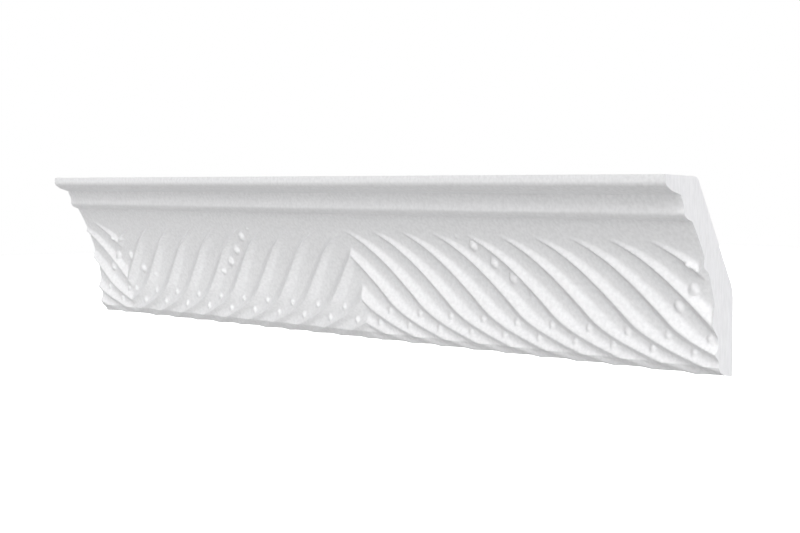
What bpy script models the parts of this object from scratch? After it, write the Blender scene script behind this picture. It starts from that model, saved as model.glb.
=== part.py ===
"""Ceiling moulding: a length of foam coving with a fluted cove, a lip and a band above it, and rows of beads."""
import math

import bmesh
import bpy
from mathutils import Matrix, Vector

MM = 0.001

# Driving sizes of the length and of its section, in metres
LENGTH = 422 * MM
HEIGHT = 70 * MM
PROJECTION = 35 * MM
WALL_FACE_HEIGHT = 27.5 * MM
CEILING_DEPTH = 16 * MM
CEILING_FALL = 0.75 * MM
BACK_BEND_RADIUS = 12 * MM
TOP_CORNER_RADIUS = 3 * MM

# The lip under the ceiling: a flat face, a rounded corner, a splay and a quirk
LIP_FACE = 3.5 * MM
LIP_CORNER_RADIUS = 2.4 * MM
LIP_SPLAY_DEPTH = 3.1 * MM
LIP_SPLAY_DROP = 2.0 * MM
LIP_QUIRK_DEPTH = 4.8 * MM
LIP_QUIRK_DROP = 1.5 * MM

# The band below the lip: a slightly hollow face that turns under at a rounded corner
BAND_SHOULDER_DROP = 0.8 * MM
BAND_HEIGHT = 5.8 * MM
BAND_HOLLOW = 0.7 * MM
BAND_SET_BACK = 1.4 * MM
BAND_CORNER_RADIUS = 1.6 * MM
BAND_SPLAY_DEPTH = 1.7 * MM
BAND_SPLAY_DROP = 1.5 * MM
BAND_QUIRK_DEPTH = 2.5 * MM
BAND_QUIRK_DROP = 0.9 * MM

# The cove, from the quirk under the band down to the bottom edge
COVE_STEP_DEPTH = 0.5 * MM
COVE_STEP_DROP = 0.8 * MM
COVE_CURVE = 2.3
FOOT_THICKNESS = 7.2 * MM
CHAMFER_HEIGHT = 3.4 * MM
BOTTOM_FLAT = 4.0 * MM
SQUARE_OUT_ABOVE = 10.2 * MM

# The ridges: they spring from a joint on both sides and sweep away from it on their way down
RIDGE_PITCH = 19.5 * MM
RIDGES_PER_RUN = 10
JOINT_FROM_RIGHT_END = 196.75 * MM
JOINT_LEAN = 0.127
RIDGE_RELIEF = 2.5 * MM
RIDGE_RELIEF_REACH = 6 * MM
RIDGE_TOP_GAP = 6 * MM
RIDGE_WIDENS_OVER = 36 * MM
RIDGE_LEVEL = 28 * MM
RIDGE_PHASE = 0.49
RIDGE_SLOPE = 0.98
TIP_CURL = 11 * MM
TIP_CURL_REACH = 5 * MM
FOOT_SWEEP = 26 * MM
FOOT_REACH = 18 * MM
FOOT_FADE = 0.8
FLUTE_LIFT = 0.5 * MM

# Widths of a ridge's two sides, as shares of the pitch, at its tip and where it is widest
STEEP_SIDE = (0.105, 0.325)
GENTLE_SIDE = (0.19, 0.47)
KNEE_ALONG = 0.68
KNEE_RISE = 0.17

# Beads that stand on the flutes: pitches from the joint, height, radius
BEAD_RADIUS = 2.2 * MM
SMALL_BEAD_RADIUS = 1.4 * MM
MID_RUN_BEADS = (
    (4.14, 42.5 * MM, BEAD_RADIUS),
    (4.58, 36.1 * MM, BEAD_RADIUS),
    (5.00, 30.4 * MM, BEAD_RADIUS),
    (5.41, 25.2 * MM, SMALL_BEAD_RADIUS),
)
END_RUN_BEADS = (
    (9.79, 39.1 * MM, SMALL_BEAD_RADIUS),
    (9.69, 30.4 * MM, BEAD_RADIUS),
    (9.23, 24.2 * MM, BEAD_RADIUS),
)
BEAD_RISE = 0.6
BEAD_END_CLEARANCE = 1.2
FLUTE_BEAD_RADIUS = 1.5 * MM
FLUTE_BEAD_LEVELS = (13.3 * MM, 8.0 * MM)
FLUTE_BEAD_BEFORE_CREST = 0.51

# How finely the curved stretches are divided
BAND_STEPS = 6
PLAIN_COVE_STEPS = 3
RIDGE_ROWS = 20
CHAMFER_ROWS = 2
CORNER_STEPS = 5
BEAD_SEGMENTS = 8
BEAD_RINGS = 4
LEAST_SPACING = 0.4 * MM

FOAM_COLOUR = (0.86, 0.86, 0.865, 1.0)
FOAM_ROUGHNESS = 0.85

# The frame: origin in the middle of the wall face, +X along the length, +Y into the wall
RIGHT_END = LENGTH / 2
LEFT_END = -LENGTH / 2
BOTTOM = -WALL_FACE_HEIGHT / 2

RUN_LENGTH = RIDGES_PER_RUN * RIDGE_PITCH
BAND_TOP = HEIGHT - LIP_FACE - LIP_SPLAY_DROP - LIP_QUIRK_DROP
BAND_TOP_DEPTH = LIP_SPLAY_DEPTH + LIP_QUIRK_DEPTH
BAND_FOOT = BAND_TOP - BAND_SHOULDER_DROP - BAND_HEIGHT
BAND_FOOT_DEPTH = BAND_TOP_DEPTH + BAND_SET_BACK
BAND_QUIRK = BAND_FOOT - BAND_SPLAY_DROP - BAND_QUIRK_DROP
BAND_QUIRK_FLOOR = BAND_FOOT_DEPTH + BAND_SPLAY_DEPTH + BAND_QUIRK_DEPTH
COVE_TOP = BAND_QUIRK - COVE_STEP_DROP
COVE_TOP_DEPTH = BAND_QUIRK_FLOOR + COVE_STEP_DEPTH
COVE_FOOT_DEPTH = PROJECTION - FOOT_THICKNESS
RIDGE_TIP = COVE_TOP - RIDGE_TOP_GAP


def clear_scene():
    for old in list(bpy.data.objects):
        bpy.data.objects.remove(old, do_unlink=True)


def new_collection(name):
    collection = bpy.data.collections.new(name)
    bpy.context.scene.collection.children.link(collection)
    return collection


def foam_material():
    material = bpy.data.materials.new("white_foam")
    material.use_nodes = True
    shader = material.node_tree.nodes["Principled BSDF"]
    shader.inputs["Base Color"].default_value = FOAM_COLOUR
    shader.inputs["Roughness"].default_value = FOAM_ROUGHNESS
    shader.inputs["Metallic"].default_value = 0.0
    return material


def share_between(value, low, high):
    """0 at low and below, 1 at high and above."""
    return min(1.0, max(0.0, (value - low) / (high - low)))


def cove_depth(height):
    """How far the bare cove lies behind the lip."""
    fall = 1 - (height / COVE_TOP) ** COVE_CURVE
    return COVE_TOP_DEPTH + (COVE_FOOT_DEPTH - COVE_TOP_DEPTH) * fall


def ground(height):
    """Depth of the bare front at a height, and the way its carving stands out, as (depth, height)."""
    level = Vector((-1.0, 0.0))
    if height <= CHAMFER_HEIGHT:
        top_depth = cove_depth(CHAMFER_HEIGHT)
        below = 1 - height / CHAMFER_HEIGHT
        return top_depth + (PROJECTION - BOTTOM_FLAT - top_depth) * below, level
    step = 0.1 * MM
    square_out = Vector((-step, cove_depth(height + step) - cove_depth(height))).normalized()
    turned = share_between(height, CHAMFER_HEIGHT, SQUARE_OUT_ABOVE)
    return cove_depth(height), level.lerp(square_out, turned)


def joint_place(height):
    """Where the joint between two runs stands along the length."""
    return RIGHT_END - JOINT_FROM_RIGHT_END + JOINT_LEAN * (RIDGE_LEVEL - height)


def foot_share(height):
    """0 above the reach of the foot, growing to 1 at the bottom edge."""
    return max(0.0, 1 - height / FOOT_REACH) ** 2


def ridge_sweep(height):
    """How far a ridge has moved away from its joint on its way down to a height."""
    below_tip = RIDGE_TIP - height
    curl = TIP_CURL * (1 - math.exp(-below_tip / TIP_CURL_REACH))
    return RIDGE_SLOPE * below_tip + curl + FOOT_SWEEP * foot_share(height)


def crest_place(ridge, height):
    """Distance from the joint to the crest of one ridge."""
    return (RIDGE_PHASE + ridge) * RIDGE_PITCH + ridge_sweep(height) - ridge_sweep(RIDGE_LEVEL)


def crest_relief(height):
    """How far the crests stand out from the bare cove at a height."""
    risen = 1 - math.exp(-(RIDGE_TIP - height) / RIDGE_RELIEF_REACH)
    return RIDGE_RELIEF * risen * (1 - FOOT_FADE * foot_share(height))


def flute_lift(relief, height):
    """How far the bottom edge is raised between the ridges that wrap it."""
    if height >= CHAMFER_HEIGHT:
        return 0.0
    return FLUTE_LIFT * (1 - height / CHAMFER_HEIGHT) * (1 - relief / crest_relief(height))


def ridge_section(ridge, height):
    """The four corners of one ridge at a height: (distance from the joint, relief)."""
    relief = crest_relief(height)
    widened = share_between(RIDGE_TIP - height, 0, RIDGE_WIDENS_OVER)
    steep = RIDGE_PITCH * (STEEP_SIDE[0] + (STEEP_SIDE[1] - STEEP_SIDE[0]) * widened)
    gentle = RIDGE_PITCH * (GENTLE_SIDE[0] + (GENTLE_SIDE[1] - GENTLE_SIDE[0]) * widened)
    crest = crest_place(ridge, height)
    return (
        (crest - steep, 0.0),
        (crest, relief),
        (crest + KNEE_ALONG * gentle, KNEE_RISE * relief),
        (crest + gentle, 0.0),
    )


def ridges_at(height):
    """Numbers of the ridges that cross one run at a height."""
    first = math.floor(-crest_place(0, height) / RIDGE_PITCH) - 1
    return range(first, first + RIDGES_PER_RUN + 3)


def relief_at(distance, height):
    """Height of the carving above the bare cove, at a distance from the joint."""
    for ridge in ridges_at(height):
        corners = ridge_section(ridge, height)
        for (start, low), (end, high) in zip(corners, corners[1:]):
            if start <= distance <= end:
                return low + (high - low) * (distance - start) / (end - start)
    return 0.0


def along_the_length(distance, run, side, height):
    """Place of a point that is a distance from the joint of a run, on its left (-1) or right (1) side."""
    return joint_place(height) + 2 * run * RUN_LENGTH + side * distance


def carved_relief(place, height):
    """Height of the carving at a place along the length."""
    distance = abs(place - joint_place(height)) % (2 * RUN_LENGTH)
    return relief_at(min(distance, 2 * RUN_LENGTH - distance), height)


def runs_on_the_length():
    """Numbers of the joints whose ridges reach the length, on either side."""
    reach = math.ceil(LENGTH / (2 * RUN_LENGTH)) + 1
    return range(-reach, reach + 1)


def row_of_corners(height):
    """All corners of the carved front at one height, from left to right: (name, place, relief)."""
    row = []
    for run in runs_on_the_length():
        joint = along_the_length(0, run, 1, height)
        meeting = along_the_length(RUN_LENGTH, run, 1, height)
        row.append((("joint", run), joint, relief_at(0, height)))
        row.append((("meeting", run), meeting, relief_at(RUN_LENGTH, height)))
        for side in (-1, 1):
            for ridge in ridges_at(height):
                for corner, (distance, relief) in enumerate(ridge_section(ridge, height)):
                    if LEAST_SPACING < distance < RUN_LENGTH - LEAST_SPACING:
                        place = along_the_length(distance, run, side, height)
                        row.append(((run, side, ridge, corner), place, relief))
    inside = [entry for entry in row if LEFT_END + LEAST_SPACING < entry[1] < RIGHT_END - LEAST_SPACING]
    inside.sort(key=lambda entry: entry[1])
    left = ("left end", LEFT_END, carved_relief(LEFT_END, height))
    right = ("right end", RIGHT_END, carved_relief(RIGHT_END, height))
    return [left] + inside + [right]


def carved_heights():
    """Heights of the rows of the carved front, from the ridges' tips down to the bottom edge."""
    heights = []
    for row in range(RIDGE_ROWS + 1):
        even = row / RIDGE_ROWS
        eased = (1 - math.cos(math.pi * even)) / 2
        heights.append(RIDGE_TIP + (CHAMFER_HEIGHT - RIDGE_TIP) * (even + eased) / 2)
    for row in range(1, CHAMFER_ROWS + 1):
        heights.append(CHAMFER_HEIGHT * (1 - row / CHAMFER_ROWS))
    return heights


def plain_front():
    """The section from the ceiling down to just above the ridges: (depth, height)."""
    top = (0.0, HEIGHT)
    lip_corner = (0.0, HEIGHT - LIP_FACE)
    lip_splay = (LIP_SPLAY_DEPTH, HEIGHT - LIP_FACE - LIP_SPLAY_DROP)
    points = [top] + rounded_corner(top, lip_corner, lip_splay, LIP_CORNER_RADIUS)
    points += [lip_splay, (BAND_TOP_DEPTH, BAND_TOP)]
    for step in range(BAND_STEPS):
        share = step / BAND_STEPS
        depth = BAND_TOP_DEPTH + BAND_SET_BACK * share + BAND_HOLLOW * math.sin(math.pi * share)
        points.append((depth, BAND_TOP - BAND_SHOULDER_DROP - BAND_HEIGHT * share))
    band_corner = (BAND_FOOT_DEPTH, BAND_FOOT)
    band_splay = (BAND_FOOT_DEPTH + BAND_SPLAY_DEPTH, BAND_FOOT - BAND_SPLAY_DROP)
    points += rounded_corner(points[-1], band_corner, band_splay, BAND_CORNER_RADIUS)
    points += [band_splay, (BAND_QUIRK_FLOOR, BAND_QUIRK)]
    for step in range(PLAIN_COVE_STEPS):
        height = COVE_TOP - RIDGE_TOP_GAP * step / PLAIN_COVE_STEPS
        points.append((cove_depth(height), height))
    return points


def rounded_corner(before, corner, after, radius):
    """Points of an arc that rounds the corner between two straight stretches."""
    to_before = (Vector(before) - Vector(corner)).normalized()
    to_after = (Vector(after) - Vector(corner)).normalized()
    half_angle = to_before.angle(to_after) / 2
    tangent = radius / math.tan(half_angle)
    centre = Vector(corner) + (to_before + to_after).normalized() * radius / math.sin(half_angle)
    start = Vector(corner) + to_before * tangent - centre
    end = Vector(corner) + to_after * tangent - centre
    points = []
    for step in range(CORNER_STEPS + 1):
        spoke = start.lerp(end, step / CORNER_STEPS).normalized() * radius
        points.append(tuple(centre + spoke))
    return points


def back_section():
    """The section up the back: wall face, sloping back and ceiling face: (depth, height)."""
    foot = (PROJECTION, 0.0)
    shoulder = (CEILING_DEPTH, HEIGHT - CEILING_FALL)
    front = (0.0, HEIGHT)
    slope = math.atan2(PROJECTION - CEILING_DEPTH, shoulder[1] - WALL_FACE_HEIGHT)
    bend = (PROJECTION, WALL_FACE_HEIGHT + BACK_BEND_RADIUS * math.tan(slope / 2))
    up_the_back = rounded_corner(foot, bend, shoulder, BACK_BEND_RADIUS)
    over_the_top = rounded_corner(bend, shoulder, front, TOP_CORNER_RADIUS)
    return [foot] + up_the_back + over_the_top


def place_vertex(mesh, place, depth, height):
    return mesh.verts.new((place, depth - PROJECTION, height + BOTTOM))


def plain_row(mesh, point):
    depth, height = point
    left = place_vertex(mesh, LEFT_END, depth, height)
    right = place_vertex(mesh, RIGHT_END, depth, height)
    return {"left end": left, "right end": right}


def carved_row(mesh, height):
    depth, outward = ground(height)
    row = {}
    for name, place, relief in row_of_corners(height):
        spot = Vector((depth, height)) + outward * relief
        row[name] = place_vertex(mesh, place, spot.x, spot.y + flute_lift(relief, height))
    return row


def fill_between(mesh, upper, lower):
    """Faces between two rows: quads where both have the same corners, triangles where one has more."""
    shared = [name for name in upper if name in lower]
    upper_names, lower_names = list(upper), list(lower)
    for start, end in zip(shared, shared[1:]):
        above = [upper[n] for n in upper_names[upper_names.index(start):upper_names.index(end) + 1]]
        below = [lower[n] for n in lower_names[lower_names.index(start):lower_names.index(end) + 1]]
        if len(above) == 2 or len(below) == 2:
            mesh.faces.new(above[::-1] + below)
            continue
        while len(above) > 1 or len(below) > 1:
            if len(below) == 1 or (len(above) > 1 and above[1].co.x <= below[1].co.x):
                mesh.faces.new((above[1], above[0], below[0]))
                above.pop(0)
            else:
                mesh.faces.new((above[0], below[0], below[1]))
                below.pop(0)


def moulding_mesh():
    """The moulding without its beads, as one closed mesh."""
    mesh = bmesh.new()
    rows = [plain_row(mesh, point) for point in plain_front()]
    rows += [carved_row(mesh, height) for height in carved_heights()]
    rows += [plain_row(mesh, point) for point in back_section()]
    for upper, lower in zip(rows, rows[1:] + rows[:1]):
        fill_between(mesh, upper, lower)
    mesh.faces.new([row["right end"] for row in rows])
    mesh.faces.new([row["left end"] for row in reversed(rows)])
    bmesh.ops.recalc_face_normals(mesh, faces=mesh.faces)
    bmesh.ops.triangulate(mesh, faces=mesh.faces)
    return mesh


def flute_bead_places(height):
    """Distances from the joint at which a small bead stands low in each flute, in the middle of it."""
    before_crest = FLUTE_BEAD_BEFORE_CREST * RIDGE_PITCH
    return [crest_place(ridge, height) - before_crest for ridge in ridges_at(height)]


def bead_places():
    """Every bead on the length: (place, height, radius)."""
    wanted = list(MID_RUN_BEADS + END_RUN_BEADS)
    for height in FLUTE_BEAD_LEVELS:
        for distance in flute_bead_places(height):
            wanted.append((distance / RIDGE_PITCH, height, FLUTE_BEAD_RADIUS))
    places = []
    for run in runs_on_the_length():
        for side in (-1, 1):
            for pitches, height, radius in wanted:
                distance = pitches * RIDGE_PITCH
                place = along_the_length(distance, run, side, height)
                clear_of_joint = radius < distance < RUN_LENGTH - radius
                clearance = BEAD_END_CLEARANCE * radius
                clear_of_ends = LEFT_END + clearance < place < RIGHT_END - clearance
                if clear_of_joint and clear_of_ends:
                    places.append((place, height, radius))
    return places


def bead_mesh():
    """All the beads as low domes whose lower halves lie in the moulding."""
    mesh = bmesh.new()
    pole_forward = Matrix.Rotation(math.radians(90), 4, "X")
    for place, height, radius in bead_places():
        depth, outward = ground(height)
        spot = Vector((depth, height)) + outward * carved_relief(place, height)
        centre = Vector((place, spot.x - PROJECTION, spot.y + BOTTOM))
        shape = Matrix.Translation(centre) @ Matrix.Diagonal((1, BEAD_RISE, 1, 1)) @ pole_forward
        bmesh.ops.create_uvsphere(
            mesh, u_segments=BEAD_SEGMENTS, v_segments=BEAD_RINGS, radius=radius, matrix=shape)
    return mesh


def new_object(name, mesh, collection, material):
    data = bpy.data.meshes.new(name)
    mesh.to_mesh(data)
    mesh.free()
    data.materials.append(material)
    item = bpy.data.objects.new(name, data)
    collection.objects.link(item)
    return item


def build():
    clear_scene()
    parts = new_collection("ceiling_moulding_parts")
    guides = new_collection("guides")
    foam = foam_material()
    beads = new_object("bead_guide", bead_mesh(), guides, foam)
    beads.hide_render = True
    beads.display_type = "WIRE"
    moulding = new_object("ceiling_moulding", moulding_mesh(), parts, foam)
    join = moulding.modifiers.new("join_beads", "BOOLEAN")
    join.operation = "UNION"
    join.solver = "EXACT"
    join.object = beads


build()
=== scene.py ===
"""A length of foam ceiling moulding in soft studio light."""

import math

import bpy
import numpy as np
from mathutils import Matrix, Vector


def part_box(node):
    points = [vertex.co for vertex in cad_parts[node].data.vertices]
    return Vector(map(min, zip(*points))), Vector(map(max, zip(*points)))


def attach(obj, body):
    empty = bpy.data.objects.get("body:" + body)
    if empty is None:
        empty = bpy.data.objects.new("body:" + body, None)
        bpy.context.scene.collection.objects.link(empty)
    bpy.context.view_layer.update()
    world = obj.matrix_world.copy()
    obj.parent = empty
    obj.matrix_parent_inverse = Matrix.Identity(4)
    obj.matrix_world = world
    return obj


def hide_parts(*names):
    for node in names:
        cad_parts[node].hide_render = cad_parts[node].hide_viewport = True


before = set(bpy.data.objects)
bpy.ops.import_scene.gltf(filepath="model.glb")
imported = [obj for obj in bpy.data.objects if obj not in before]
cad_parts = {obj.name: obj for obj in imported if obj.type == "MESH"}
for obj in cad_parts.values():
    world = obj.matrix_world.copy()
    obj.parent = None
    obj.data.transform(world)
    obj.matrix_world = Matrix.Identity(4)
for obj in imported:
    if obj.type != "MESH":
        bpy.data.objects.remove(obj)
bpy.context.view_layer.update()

# The bare moulding. A length of light coving in moulded polystyrene foam: a lip under the ceiling,
# a band in its shadow, and a cove that falls back to the wall. It is cut square at both ends, and
# glued by the flat foot of its back and by its top.
MM = 0.001
low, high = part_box("ceiling_moulding")
LENGTH = high.x - low.x
HEIGHT = high.z - low.z
PROJECTION = high.y - low.y

WALL_FACE_HEIGHT = 27.5 * MM
CEILING_DEPTH = 16 * MM
CEILING_FALL = 0.75 * MM
HEEL_RADIUS = 0.3 * MM
BACK_BEND_RADIUS = 12 * MM
TOP_CORNER_RADIUS = 3 * MM
LIP_FACE = 3.5 * MM
LIP_CORNER_RADIUS = 2.4 * MM
LIP_SPLAY = (3.1 * MM, 2.0 * MM)
LIP_QUIRK = (4.8 * MM, 1.5 * MM)
BAND_SHOULDER = 0.8 * MM
BAND_HEIGHT = 5.8 * MM
BAND_HOLLOW = 0.7 * MM
BAND_SET_BACK = 1.4 * MM
BAND_CORNER_RADIUS = 1.6 * MM
BAND_SPLAY = (1.7 * MM, 1.5 * MM)
BAND_QUIRK = (2.5 * MM, 0.9 * MM)
SPLAY_RADIUS = 0.8 * MM
QUIRK_RADIUS = 0.35 * MM
COVE_STEP = (0.5 * MM, 0.8 * MM)
COVE_STEP_RADIUS = 0.5 * MM
COVE_CURVE = 2.3
FOOT_THICKNESS = 7.2 * MM
CHAMFER_HEIGHT = 3.4 * MM
BOTTOM_FLAT = 4.0 * MM
SQUARE_OUT_ABOVE = 10.2 * MM
RIDGE_TOP_GAP = 6 * MM
FLUTE_LIFT = 0.5 * MM

band_top = HEIGHT - LIP_FACE - LIP_SPLAY[1] - LIP_QUIRK[1]
band_top_depth = LIP_SPLAY[0] + LIP_QUIRK[0]
band_foot = band_top - BAND_SHOULDER - BAND_HEIGHT
band_foot_depth = band_top_depth + BAND_SET_BACK
quirk = band_foot - BAND_SPLAY[1] - BAND_QUIRK[1]
quirk_depth = band_foot_depth + BAND_SPLAY[0] + BAND_QUIRK[0]
cove_top = quirk - COVE_STEP[1]
cove_top_depth = quirk_depth + COVE_STEP[0]
cove_foot_depth = PROJECTION - FOOT_THICKNESS
ridge_tip = cove_top - RIDGE_TOP_GAP


def cove_depth(height):
    """How far the bare cove lies behind the lip."""
    fall = 1 - (height / cove_top) ** COVE_CURVE
    return cove_top_depth + (cove_foot_depth - cove_top_depth) * fall


NEARLY_STRAIGHT = math.radians(88)
ARC_STEP = math.radians(16)


def eased_outline(corners):
    """A section with its corners rounded: each corner is (depth, height, radius)."""
    points = [Vector(corners[0][:2])]
    for before, corner, after in zip(corners, corners[1:], corners[2:]):
        here, radius = Vector(corner[:2]), corner[2]
        back = (Vector(before[:2]) - here).normalized()
        on = (Vector(after[:2]) - here).normalized()
        half = back.angle(on) / 2
        if radius == 0 or half > NEARLY_STRAIGHT:
            points.append(here)
            continue
        centre = here + (back + on).normalized() * radius / math.sin(half)
        start = here + back * radius / math.tan(half) - centre
        turn = start.angle_signed(here + on * radius / math.tan(half) - centre)
        steps = max(2, math.ceil(abs(turn) / ARC_STEP))
        for step in range(steps + 1):
            points.append(centre + Matrix.Rotation(-turn * step / steps, 2) @ start)
    points.append(Vector(corners[-1][:2]))
    return points


BAND_STEPS = 6
front = [
    (0, HEIGHT, 0),
    (0, HEIGHT - LIP_FACE, LIP_CORNER_RADIUS),
    (LIP_SPLAY[0], HEIGHT - LIP_FACE - LIP_SPLAY[1], SPLAY_RADIUS),
    (band_top_depth, band_top, QUIRK_RADIUS),
]
for step in range(BAND_STEPS):
    share = step / BAND_STEPS
    depth = band_top_depth + BAND_SET_BACK * share + BAND_HOLLOW * math.sin(math.pi * share)
    front.append((depth, band_top - BAND_SHOULDER - BAND_HEIGHT * share, 0))
front += [
    (band_foot_depth, band_foot, BAND_CORNER_RADIUS),
    (band_foot_depth + BAND_SPLAY[0], band_foot - BAND_SPLAY[1], SPLAY_RADIUS),
    (quirk_depth, quirk, QUIRK_RADIUS),
    (cove_top_depth, cove_top, COVE_STEP_RADIUS),
]
PLAIN_COVE_STEPS = 7
for step in range(1, PLAIN_COVE_STEPS):
    height = cove_top - RIDGE_TOP_GAP * step / PLAIN_COVE_STEPS
    front.append((cove_depth(height), height, 0))

shoulder = HEIGHT - CEILING_FALL
slope = math.atan2(PROJECTION - CEILING_DEPTH, shoulder - WALL_FACE_HEIGHT)
bend = WALL_FACE_HEIGHT + BACK_BEND_RADIUS * math.tan(slope / 2)
back = [
    (PROJECTION - BOTTOM_FLAT, 0, 0),
    (PROJECTION, 0, HEEL_RADIUS),
    (PROJECTION, bend, BACK_BEND_RADIUS),
    (CEILING_DEPTH, shoulder, TOP_CORNER_RADIUS),
    (0, HEIGHT, 0),
]

# Rows of the section, each with the way in which carving stands out there, or None where it is bare
ROW_SPACING = 0.6 * MM
COLUMN_SPACING = 0.48 * MM
COLUMNS_BETWEEN_BARE = 16
CHAMFER_ROWS = 8
SLOPE_STEP = 0.1 * MM
straight_out = Vector((-1, 0))
rows = [(point.x, point.y, None) for point in eased_outline(front)]
height = ridge_tip
while height > CHAMFER_HEIGHT:
    rise = (cove_depth(height - SLOPE_STEP) - cove_depth(height)) / SLOPE_STEP
    square_out = Vector((-1, -rise)).normalized()
    turned = min(1, max(0, (height - CHAMFER_HEIGHT) / (SQUARE_OUT_ABOVE - CHAMFER_HEIGHT)))
    rows.append((cove_depth(height), height, straight_out.lerp(square_out, turned)))
    height -= ROW_SPACING / math.hypot(1, rise)
chamfer_top = cove_depth(CHAMFER_HEIGHT)
for row in range(CHAMFER_ROWS + 1):
    share = row / CHAMFER_ROWS
    depth = chamfer_top + (PROJECTION - BOTTOM_FLAT - chamfer_top) * share
    rows.append((depth, CHAMFER_HEIGHT * (1 - share), straight_out))
rows += [(point.x, point.y, None) for point in eased_outline(back)[1:-1]]

columns = COLUMNS_BETWEEN_BARE * round(LENGTH / COLUMN_SPACING / COLUMNS_BETWEEN_BARE)
verts, outward, lifts, first, faces = [], [], [], [], []
for depth, height, out in rows:
    first.append(len(verts))
    step = COLUMNS_BETWEEN_BARE if out is None else 1
    for column in range(0, columns + 1, step):
        verts.append((low.x + LENGTH * column / columns, low.y + depth, low.z + height))
        outward.append((0, 0, 0) if out is None else (0, out.x, out.y))
        lifts.append(0 if out is None else FLUTE_LIFT * max(0, 1 - height / CHAMFER_HEIGHT))


def corners_on_row(row, column, step):
    """The corners that a face has on one of its two rows."""
    if rows[row][2] is None:
        return [first[row] + column // COLUMNS_BETWEEN_BARE + n for n in range(2)]
    return [first[row] + column + n for n in range(step + 1)]


for upper in range(len(rows)):
    lower = (upper + 1) % len(rows)
    beside_bare = rows[upper][2] is None or rows[lower][2] is None
    step = COLUMNS_BETWEEN_BARE if beside_bare else 1
    for column in range(0, columns, step):
        faces.append(corners_on_row(lower, column, step) + corners_on_row(upper, column, step)[::-1])
faces.append(first[::-1])
faces.append([end - 1 for end in first[1:] + [len(verts)]])
mesh = bpy.data.meshes.new("moulding")
mesh.from_pydata(verts, [], faces)
mesh.attributes.new("outward", "FLOAT_VECTOR", "POINT").data.foreach_set("vector", np.ravel(outward))
mesh.attributes.new("bare", "FLOAT_VECTOR", "POINT").data.foreach_set("vector", np.ravel(verts))
mesh.attributes.new("flute lift", "FLOAT", "POINT").data.foreach_set("value", lifts)
moulding = bpy.data.objects.new("moulding", mesh)
bpy.context.scene.collection.objects.link(moulding)


def add_node(tree, kind, links, **settings):
    """Adds a node to a tree, with its settings and what goes into each of its inputs."""
    node = tree.nodes.new(kind)
    for name, value in settings.items():
        setattr(node, name, value)
    for name, value in links.items():
        if isinstance(value, bpy.types.NodeSocket):
            tree.links.new(value, node.inputs[name])
        else:
            node.inputs[name].default_value = value
    return node


# The ridges are moulded in with the cove. They spring from a joint on both sides and sweep away from
# it on their way down. A section through one has a steep side towards the joint, a crest, and a side
# away from the joint, and both sides run out into the cove in a soft hollow.
PITCH = 19.5 * MM
RIDGES_PER_RUN = 10
JOINT_FROM_RIGHT_END = 196.75 * MM
FIRST_CREST = 0.49 * PITCH
RIDGE_SIZES = {
    "Bottom": low.z,
    "Run": RIDGES_PER_RUN * PITCH,
    "Joint": high.x - JOINT_FROM_RIGHT_END,
    "Joint lean": 0.127,
    "Level": 28 * MM,
    "Tip": ridge_tip,
    "Slope": 0.98,
    "Curl": 11 * MM,
    "Curl reach": 5 * MM,
    "Foot sweep": 26 * MM,
    "Foot reach": 18 * MM,
    "Foot fade": 0.8,
    "Pitch": PITCH,
    "Wrap": 0.45,
    "Relief": 2.5 * MM,
    "Relief reach": 6 * MM,
    "Width grows over": 36 * MM,
    "Steep side at tip": 0.10,
    "Steep side": 0.31,
    "Far side at tip": 0.154,
    "Far side": 0.375,
    "Crest softness": 0.1,
    "Foot softness": 0.28,
}


def ridge_sweep(height):
    """How far a ridge has moved away from its joint on its way down to a height."""
    below = RIDGE_SIZES["Tip"] - height
    curl = RIDGE_SIZES["Curl"] * (1 - math.exp(-below / RIDGE_SIZES["Curl reach"]))
    foot = RIDGE_SIZES["Foot sweep"] * max(0, 1 - height / RIDGE_SIZES["Foot reach"]) ** 2
    return RIDGE_SIZES["Slope"] * below + curl + foot


RIDGE_SIZES["First tip"] = FIRST_CREST - ridge_sweep(RIDGE_SIZES["Level"])

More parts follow.
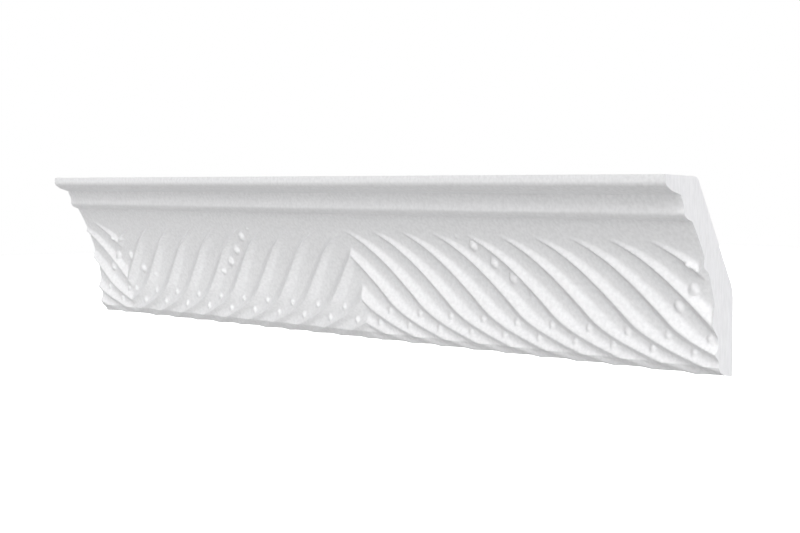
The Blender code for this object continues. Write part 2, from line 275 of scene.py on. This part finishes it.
# Each step is (its name, operation, terms). A term is a size, a coordinate, an earlier step or a number.
RIDGE_STEPS = (
    ("height", "SUBTRACT", "Z", "Bottom"),
    ("from level", "SUBTRACT", "Level", "height"),
    ("joint", "MULTIPLY_ADD", "from level", "Joint lean", "Joint"),
    ("from joint", "SUBTRACT", "X", "joint"),
    ("distance", "PINGPONG", "from joint", "Run"),
    ("to tip", "SUBTRACT", "Tip", "height"),
    ("below tip", "MAXIMUM", "to tip", 0),
    ("curl reaches", "DIVIDE", "below tip", "Curl reach"),
    ("curl to come", "POWER", 1 / math.e, "curl reaches"),
    ("curl done", "SUBTRACT", 1, "curl to come"),
    ("curl", "MULTIPLY", "curl done", "Curl"),
    ("foot reaches", "DIVIDE", "height", "Foot reach"),
    ("in foot", "SUBTRACT", 1, "foot reaches"),
    ("foot share", "MAXIMUM", "in foot", 0),
    ("foot squared", "MULTIPLY", "foot share", "foot share"),
    ("slope and curl", "MULTIPLY_ADD", "below tip", "Slope", "curl"),
    ("sweep", "MULTIPLY_ADD", "foot squared", "Foot sweep", "slope and curl"),
    ("first ridge", "ADD", "sweep", "First tip"),
    ("past first ridge", "SUBTRACT", "distance", "first ridge"),
    ("pitches", "DIVIDE", "past first ridge", "Pitch"),
    ("width grown", "DIVIDE", "below tip", "Width grows over"),
    ("full width", "MINIMUM", "width grown", 1),
    ("steep gain", "SUBTRACT", "Steep side", "Steep side at tip"),
    ("steep", "MULTIPLY_ADD", "full width", "steep gain", "Steep side at tip"),
    ("far gain", "SUBTRACT", "Far side", "Far side at tip"),
    ("far", "MULTIPLY_ADD", "full width", "far gain", "Far side at tip"),
    ("led", "ADD", "pitches", "Wrap"),
    ("wrapped", "FRACT", "led"),
    ("from crest", "SUBTRACT", "wrapped", "Wrap"),
    ("up steep side", "DIVIDE", "from crest", "steep"),
    ("steep face", "ADD", "up steep side", 1),
    ("down far side", "DIVIDE", "from crest", "far"),
    ("far face", "SUBTRACT", 1, "down far side"),
    ("peak", "SMOOTH_MIN", "steep face", "far face", "Crest softness"),
    ("section", "SMOOTH_MAX", "peak", 0, "Foot softness"),
    ("relief reaches", "DIVIDE", "below tip", "Relief reach"),
    ("relief to come", "POWER", 1 / math.e, "relief reaches"),
    ("relief done", "SUBTRACT", 1, "relief to come"),
    ("lost at foot", "MULTIPLY", "foot squared", "Foot fade"),
    ("kept at foot", "SUBTRACT", 1, "lost at foot"),
    ("crest share", "MULTIPLY", "relief done", "kept at foot"),
    ("crest height", "MULTIPLY", "crest share", "Relief"),
    ("relief", "MULTIPLY", "crest height", "section"),
    ("between ridges", "SUBTRACT", 1, "section"),
    ("lift", "MULTIPLY", "between ridges", "flute lift"),
)
ridges = bpy.data.node_groups.new("sweeping ridges", "GeometryNodeTree")
ridges.interface.new_socket("Geometry", in_out="INPUT", socket_type="NodeSocketGeometry")
for name in RIDGE_SIZES:
    ridges.interface.new_socket(name, in_out="INPUT", socket_type="NodeSocketFloat")
ridges.interface.new_socket("Skin", in_out="INPUT", socket_type="NodeSocketMaterial")
ridges.interface.new_socket("Geometry", in_out="OUTPUT", socket_type="NodeSocketGeometry")
given = add_node(ridges, "NodeGroupInput", {}).outputs
place = add_node(ridges, "GeometryNodeInputPosition", {}).outputs["Position"]
worked = {name: given[name] for name in RIDGE_SIZES}
worked.update(add_node(ridges, "ShaderNodeSeparateXYZ", {"Vector": place}).outputs.items())
flute_lift = add_node(ridges, "GeometryNodeInputNamedAttribute", {"Name": "flute lift"}, data_type="FLOAT")
worked["flute lift"] = flute_lift.outputs["Attribute"]
for name, operation, *terms in RIDGE_STEPS:
    terms = {n: worked.get(term, term) for n, term in enumerate(terms)}
    step = add_node(ridges, "ShaderNodeMath", terms, operation=operation, label=name)
    worked[name] = step.outputs["Value"]
way_out = add_node(
    ridges, "GeometryNodeInputNamedAttribute", {"Name": "outward"}, data_type="FLOAT_VECTOR")
stand_out = add_node(
    ridges, "ShaderNodeVectorMath", {0: way_out.outputs["Attribute"], "Scale": worked["relief"]},
    operation="SCALE")
up = add_node(ridges, "ShaderNodeCombineXYZ", {"Z": worked["lift"]})
moved = add_node(
    ridges, "ShaderNodeVectorMath", {0: stand_out.outputs["Vector"], 1: up.outputs["Vector"]},
    operation="ADD")
carved = add_node(
    ridges, "GeometryNodeSetPosition", {"Geometry": given["Geometry"], "Offset": moved.outputs["Vector"]})
real = add_node(ridges, "GeometryNodeRealizeInstances", {"Geometry": carved.outputs["Geometry"]})
painted = add_node(
    ridges, "GeometryNodeSetMaterial", {"Geometry": real.outputs["Geometry"], "Material": given["Skin"]})
add_node(ridges, "NodeGroupOutput", {"Geometry": painted.outputs["Geometry"]})

# The beads are low domes moulded on the flutes: a slanting row half way along each run, a few more
# where two runs meet, and two small ones low in the middle of each flute.
# Each is (pitches from the joint, height, radius).
BEAD = 2.2 * MM
SMALL_BEAD = 1.4 * MM
TINY_BEAD = 1.0 * MM
FLUTE_BEAD = 1.5 * MM
BEAD_RISE = 0.6
BEAD_ROUNDNESS = 0.7
BEAD_END_CLEARANCE = 1.2
FLUTE_BEAD_HEIGHTS = (13.3 * MM, 8.0 * MM)
FLUTE_BEAD_BEFORE_CREST = 0.51
RIDGES_FROM_BEFORE_JOINT = 4
beads = [
    (3.74, 46.4 * MM, TINY_BEAD),
    (4.14, 42.5 * MM, BEAD),
    (4.58, 36.1 * MM, BEAD),
    (5.00, 30.4 * MM, BEAD),
    (5.41, 25.2 * MM, SMALL_BEAD),
    (9.79, 39.1 * MM, SMALL_BEAD),
    (9.69, 30.4 * MM, BEAD),
    (9.23, 24.2 * MM, BEAD),
    (8.65, 21.3 * MM, TINY_BEAD),
]
for height in FLUTE_BEAD_HEIGHTS:
    swept = ridge_sweep(height) - ridge_sweep(RIDGE_SIZES["Level"])
    for ridge in range(-RIDGES_FROM_BEFORE_JOINT, RIDGES_PER_RUN):
        crest = FIRST_CREST / PITCH + ridge + swept / PITCH
        beads.append((crest - FLUTE_BEAD_BEFORE_CREST, height, FLUTE_BEAD))
seeds, radii = [], []
for run in (-1, 0, 1):
    for side in (-1, 1):
        for pitches, height, radius in beads:
            joint = RIDGE_SIZES["Joint"] + RIDGE_SIZES["Joint lean"] * (RIDGE_SIZES["Level"] - height)
            along = joint + 2 * run * RIDGE_SIZES["Run"] + side * pitches * PITCH
            clear = low.x + BEAD_END_CLEARANCE * radius < along < high.x - BEAD_END_CLEARANCE * radius
            if clear and radius < pitches * PITCH < RIDGE_SIZES["Run"] - radius:
                seeds.append((along, low.y + cove_depth(height), low.z + height))
                radii.append(radius)
seed_mesh = bpy.data.meshes.new("bead seeds")
seed_mesh.from_pydata(seeds, [], [])
seed_mesh.attributes.new("radius", "FLOAT", "POINT").data.foreach_set("value", radii)
bead_seeds = bpy.data.objects.new("bead seeds", seed_mesh)
bpy.context.scene.collection.objects.link(bead_seeds)

DOME_STEPS = (
    ("out from middle", "DIVIDE", "apart", "reach"),
    ("squared out", "MULTIPLY", "out from middle", "out from middle"),
    ("left inside", "SUBTRACT", 1, "squared out"),
    ("inside", "MAXIMUM", "left inside", 0),
    ("dome", "POWER", "inside", "Roundness"),
    ("tall", "MULTIPLY", "reach", "Rise"),
    ("dome height", "MULTIPLY", "dome", "tall"),
)
FACES_SIDEWAYS_ABOVE = 0.99
domes = bpy.data.node_groups.new("beads on the flutes", "GeometryNodeTree")
for name, kind in (
    ("Geometry", "Geometry"), ("Seeds", "Object"), ("Rise", "Float"), ("Roundness", "Float"),
    ("Skin", "Material"), ("Cut end", "Material"),
):
    domes.interface.new_socket(name, in_out="INPUT", socket_type="NodeSocket" + kind)
domes.interface.new_socket("Geometry", in_out="OUTPUT", socket_type="NodeSocketGeometry")
given = add_node(domes, "NodeGroupInput", {}).outputs
points = add_node(domes, "GeometryNodeObjectInfo", {"Object": given["Seeds"]}).outputs["Geometry"]
bare = add_node(domes, "GeometryNodeInputNamedAttribute", {"Name": "bare"}, data_type="FLOAT_VECTOR")
bare = bare.outputs["Attribute"]
nearest = add_node(domes, "GeometryNodeSampleNearest", {"Geometry": points, "Sample Position": bare})
middles = add_node(domes, "GeometryNodeInputPosition", {})
middle = add_node(
    domes, "GeometryNodeSampleIndex",
    {"Geometry": points, "Value": middles.outputs["Position"], "Index": nearest.outputs["Index"]},
    data_type="FLOAT_VECTOR")
radius = add_node(domes, "GeometryNodeInputNamedAttribute", {"Name": "radius"}, data_type="FLOAT")
reach = add_node(
    domes, "GeometryNodeSampleIndex",
    {"Geometry": points, "Value": radius.outputs["Attribute"], "Index": nearest.outputs["Index"]},
    data_type="FLOAT")
apart = add_node(domes, "ShaderNodeVectorMath", {0: bare, 1: middle.outputs["Value"]}, operation="DISTANCE")
worked = {
    "apart": apart.outputs["Value"], "reach": reach.outputs["Value"],
    "Rise": given["Rise"], "Roundness": given["Roundness"],
}
for name, operation, *terms in DOME_STEPS:
    terms = {n: worked.get(term, term) for n, term in enumerate(terms)}
    step = add_node(domes, "ShaderNodeMath", terms, operation=operation, label=name)
    worked[name] = step.outputs["Value"]
way_out = add_node(domes, "GeometryNodeInputNamedAttribute", {"Name": "outward"}, data_type="FLOAT_VECTOR")
stand_out = add_node(
    domes, "ShaderNodeVectorMath", {0: way_out.outputs["Attribute"], "Scale": worked["dome height"]},
    operation="SCALE")
raised = add_node(
    domes, "GeometryNodeSetPosition", {"Geometry": given["Geometry"], "Offset": stand_out.outputs["Vector"]})
smooth = add_node(domes, "GeometryNodeSetShadeSmooth", {"Geometry": raised.outputs["Geometry"]})
facing = add_node(domes, "GeometryNodeInputNormal", {})
sideways = add_node(domes, "ShaderNodeSeparateXYZ", {"Vector": facing.outputs["Normal"]})
how_far = add_node(domes, "ShaderNodeMath", {0: sideways.outputs["X"]}, operation="ABSOLUTE")
at_an_end = add_node(
    domes, "ShaderNodeMath", {0: how_far.outputs["Value"], 1: FACES_SIDEWAYS_ABOVE}, operation="GREATER_THAN")
real = add_node(domes, "GeometryNodeRealizeInstances", {"Geometry": smooth.outputs["Geometry"]})
painted = add_node(
    domes, "GeometryNodeSetMaterial", {"Geometry": real.outputs["Geometry"], "Material": given["Skin"]})
painted = add_node(domes, "GeometryNodeSetMaterial", {
    "Geometry": painted.outputs["Geometry"],
    "Selection": at_an_end.outputs["Value"],
    "Material": given["Cut end"],
})
add_node(domes, "NodeGroupOutput", {"Geometry": painted.outputs["Geometry"]})


# Foam as it leaves the mould: matt and near white. Its skin is a fine mottle of cells a little over a
# millimetre across, with a painted highlight: a brighter fleck painted where a cell would catch the light.
def linear(hex_colour):
    """An sRGB hex colour as linear light."""
    parts = [int(hex_colour[n:n + 2], 16) / 255 for n in (0, 2, 4)]
    return [p / 12.92 if p <= 0.04045 else ((p + 0.055) / 1.055) ** 2.4 for p in parts] + [1.0]


SKIN_CELL = 1.4 * MM
PAINTED_GLINT_SPACING = 2.4 * MM
PAINTED_GLINT_SOLID, PAINTED_GLINT_EDGE, PAINTED_GLINT_STRENGTH = 0.05, 0.15, 0.5
MOTTLE_DARK, MOTTLE_LIGHT = 0.3, 0.7
CELL_RELIEF = 0.03 * MM
RELIEF_SHOWN = 0.4
SKIN_ROUGHNESS = 0.85
SKIN_SHADE = linear("EAEAEB")
SKIN_WHITE = linear("F4F4F5")
# The white of the painted highlights, which are painted into the base colour.
PAINTED_GLINT_WHITE = linear("FFFFFF")
skin = bpy.data.materials.new("moulded polystyrene foam")
skin.use_nodes = True
tree = skin.node_tree
tree.nodes.clear()
place = add_node(tree, "ShaderNodeTexCoord", {})
cells = add_node(tree, "ShaderNodeTexNoise", {
    "Vector": place.outputs["Object"], "Scale": 1 / SKIN_CELL, "Detail": 1.0, "Roughness": 0.5})
mottle = add_node(tree, "ShaderNodeMapRange", {
    "Value": cells.outputs["Fac"], "From Min": MOTTLE_DARK, "From Max": MOTTLE_LIGHT})
tone = add_node(
    tree, "ShaderNodeMix", {0: mottle.outputs["Result"], 6: SKIN_SHADE, 7: SKIN_WHITE}, data_type="RGBA")
# Painted highlights: small white flecks mixed into the base colour where a cell would catch the light.
painted_glint_cells = add_node(tree, "ShaderNodeTexVoronoi", {
    "Vector": place.outputs["Object"], "Scale": 1 / PAINTED_GLINT_SPACING})
painted_glint = add_node(tree, "ShaderNodeMapRange", {
    "Value": painted_glint_cells.outputs["Distance"], "From Min": PAINTED_GLINT_SOLID, "From Max": PAINTED_GLINT_EDGE,
    "To Min": PAINTED_GLINT_STRENGTH, "To Max": 0.0})
with_painted_glints = add_node(
    tree, "ShaderNodeMix", {0: painted_glint.outputs["Result"], 6: tone.outputs[2], 7: PAINTED_GLINT_WHITE},
    data_type="RGBA")
raised = add_node(tree, "ShaderNodeBump", {
    "Strength": RELIEF_SHOWN, "Distance": CELL_RELIEF, "Height": mottle.outputs["Result"]})
shader = add_node(tree, "ShaderNodeBsdfPrincipled", {
    "Base Color": with_painted_glints.outputs[2], "Roughness": SKIN_ROUGHNESS, "Normal": raised.outputs["Normal"]})
add_node(tree, "ShaderNodeOutputMaterial", {"Surface": shader.outputs["BSDF"]})

# Foam at a cut end: the knife has dragged the cells into short upright streaks, each less than a
# millimetre wide, so that the end looks brushed and a little rougher than the skin.
STREAK_WIDTH = 0.7 * MM
STREAK_STRETCH = 6
CUT_ROUGHNESS = 0.9
CUT_SHADE = linear("EBEBED")
CUT_WHITE = linear("F3F3F5")
cut = bpy.data.materials.new("polystyrene foam cut with a knife")
cut.use_nodes = True
tree = cut.node_tree
tree.nodes.clear()
place = add_node(tree, "ShaderNodeTexCoord", {})
drawn = add_node(
    tree, "ShaderNodeVectorMath", {0: place.outputs["Object"], 1: (1, 1, 1 / STREAK_STRETCH)},
    operation="MULTIPLY")
streaks = add_node(tree, "ShaderNodeTexNoise", {
    "Vector": drawn.outputs["Vector"], "Scale": 1 / STREAK_WIDTH, "Detail": 2.0, "Roughness": 0.5})
mottle = add_node(tree, "ShaderNodeMapRange", {
    "Value": streaks.outputs["Fac"], "From Min": MOTTLE_DARK, "From Max": MOTTLE_LIGHT})
tone = add_node(
    tree, "ShaderNodeMix", {0: mottle.outputs["Result"], 6: CUT_SHADE, 7: CUT_WHITE}, data_type="RGBA")
raised = add_node(tree, "ShaderNodeBump", {
    "Strength": RELIEF_SHOWN, "Distance": CELL_RELIEF, "Height": mottle.outputs["Result"]})
shader = add_node(tree, "ShaderNodeBsdfPrincipled", {
    "Base Color": tone.outputs[2], "Roughness": CUT_ROUGHNESS, "Normal": raised.outputs["Normal"]})
add_node(tree, "ShaderNodeOutputMaterial", {"Surface": shader.outputs["BSDF"]})

# The finished moulding: ridges, then beads, then its materials, turned into one plain mesh whose edges
# stay sharp where two faces of the section meet at a real corner.
SHARP_ABOVE = math.radians(50)
for name, tree, wanted in (
    ("ridges", ridges, RIDGE_SIZES | {"Skin": skin}),
    ("beads", domes, {
        "Seeds": bead_seeds, "Rise": BEAD_RISE, "Roundness": BEAD_ROUNDNESS, "Skin": skin, "Cut end": cut}),
):
    modifier = moulding.modifiers.new(name, "NODES")
    modifier.node_group = tree
    for socket in tree.interface.items_tree:
        if socket.in_out == "INPUT" and socket.name in wanted:
            modifier[socket.identifier] = wanted[socket.name]
finished = bpy.data.meshes.new_from_object(moulding.evaluated_get(bpy.context.evaluated_depsgraph_get()))
moulding.modifiers.clear()
moulding.data = finished
bpy.data.objects.remove(bead_seeds)
for name in ("outward", "bare", "flute lift"):
    finished.attributes.remove(finished.attributes[name])
finished.set_sharp_from_angle(angle=SHARP_ABOVE)
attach(moulding, "root")
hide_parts("ceiling_moulding")

# The floor is a pale sheet of paper far below the moulding, which hangs clear of it. The sheet glows, so
# that it shows as plain white, takes no shadow and lights the moulding a little from below.
FLOOR_DROP = 0.5
FLOOR_REACH = 12.0
PAPER_WHITE = linear("FFFFFF")
floor_mesh = bpy.data.meshes.new("floor")
floor_corners = [(x * FLOOR_REACH, y * FLOOR_REACH) for x, y in ((-1, -1), (1, -1), (1, 1), (-1, 1))]
floor_mesh.from_pydata([(x, y, low.z - FLOOR_DROP) for x, y in floor_corners], [], [(0, 1, 2, 3)])
floor = bpy.data.objects.new("floor", floor_mesh)
bpy.context.scene.collection.objects.link(floor)
paper = bpy.data.materials.new("white paper")
paper.use_nodes = True
shader = paper.node_tree.nodes["Principled BSDF"]
shader.inputs["Base Color"].default_value = PAPER_WHITE
shader.inputs["Emission Color"].default_value = PAPER_WHITE
shader.inputs["Emission Strength"].default_value = 1.0
floor_mesh.materials.append(paper)
floor.visible_diffuse = False
floor.visible_shadow = False

# Soft studio light: three broad lights from the right, high, level and low, with weaker ones overhead
# and from the left, in a dim white room. The light behind reaches the back, the top and the left end.
# Each is (name, way from the moulding, strength).
ROOM_WHITE = linear("FFFFFF")
ROOM_LIGHT = 0.14
LIGHT_SPREAD = 0.9
LIGHTS = (
    ("high right", (0.8, -0.8, 1), 1.7),
    ("level right", (1, -0.8, 0.2), 0.95),
    ("low right", (1, -0.6, -0.8), 0.95),
    ("overhead", (0.1, -0.1, 1), 0.7),
    ("left", (-1, -1, 0.3), 0.5),
    ("behind", (-0.5, 1, 0.3), 2.0),
)
world = bpy.data.worlds.new("white room")
bpy.context.scene.world = world
world.use_nodes = True
room = world.node_tree
lighting = room.nodes["Background"]
lighting.inputs["Color"].default_value = ROOM_WHITE
lighting.inputs["Strength"].default_value = ROOM_LIGHT
shown = add_node(room, "ShaderNodeBackground", {"Color": ROOM_WHITE, "Strength": 1.0})
seen = add_node(room, "ShaderNodeLightPath", {}).outputs["Is Camera Ray"]
mixed = add_node(room, "ShaderNodeMixShader", {0: seen, 1: lighting.outputs[0], 2: shown.outputs[0]})
room.links.new(mixed.outputs[0], room.nodes["World Output"].inputs["Surface"])
for name, way, strength in LIGHTS:
    lamp = bpy.data.lights.new(name, "SUN")
    lamp.angle = LIGHT_SPREAD
    lamp.energy = strength
    light = bpy.data.objects.new(name, lamp)
    light.rotation_euler = (-Vector(way)).to_track_quat("-Z", "Y").to_euler()
    bpy.context.scene.collection.objects.link(light)
bpy.context.scene.view_settings.view_transform = "Standard"

# The camera stands to the right of the moulding, close to the height of its lip, and looks down a little.
CAMERA_PLACE = (0.6088, -0.4741, 0.0528)
CAMERA_TURN = math.radians(50.74)
CAMERA_DIP = math.radians(2.669)
camera_data = bpy.data.cameras.new("camera")
camera_data.sensor_width = 36
camera_data.lens = 79.2
camera_data.clip_start = 0.01
camera = bpy.data.objects.new("camera", camera_data)
camera.location = CAMERA_PLACE
camera.rotation_euler = (math.pi / 2 - CAMERA_DIP, 0, CAMERA_TURN)
bpy.context.scene.collection.objects.link(camera)
bpy.context.scene.camera = camera
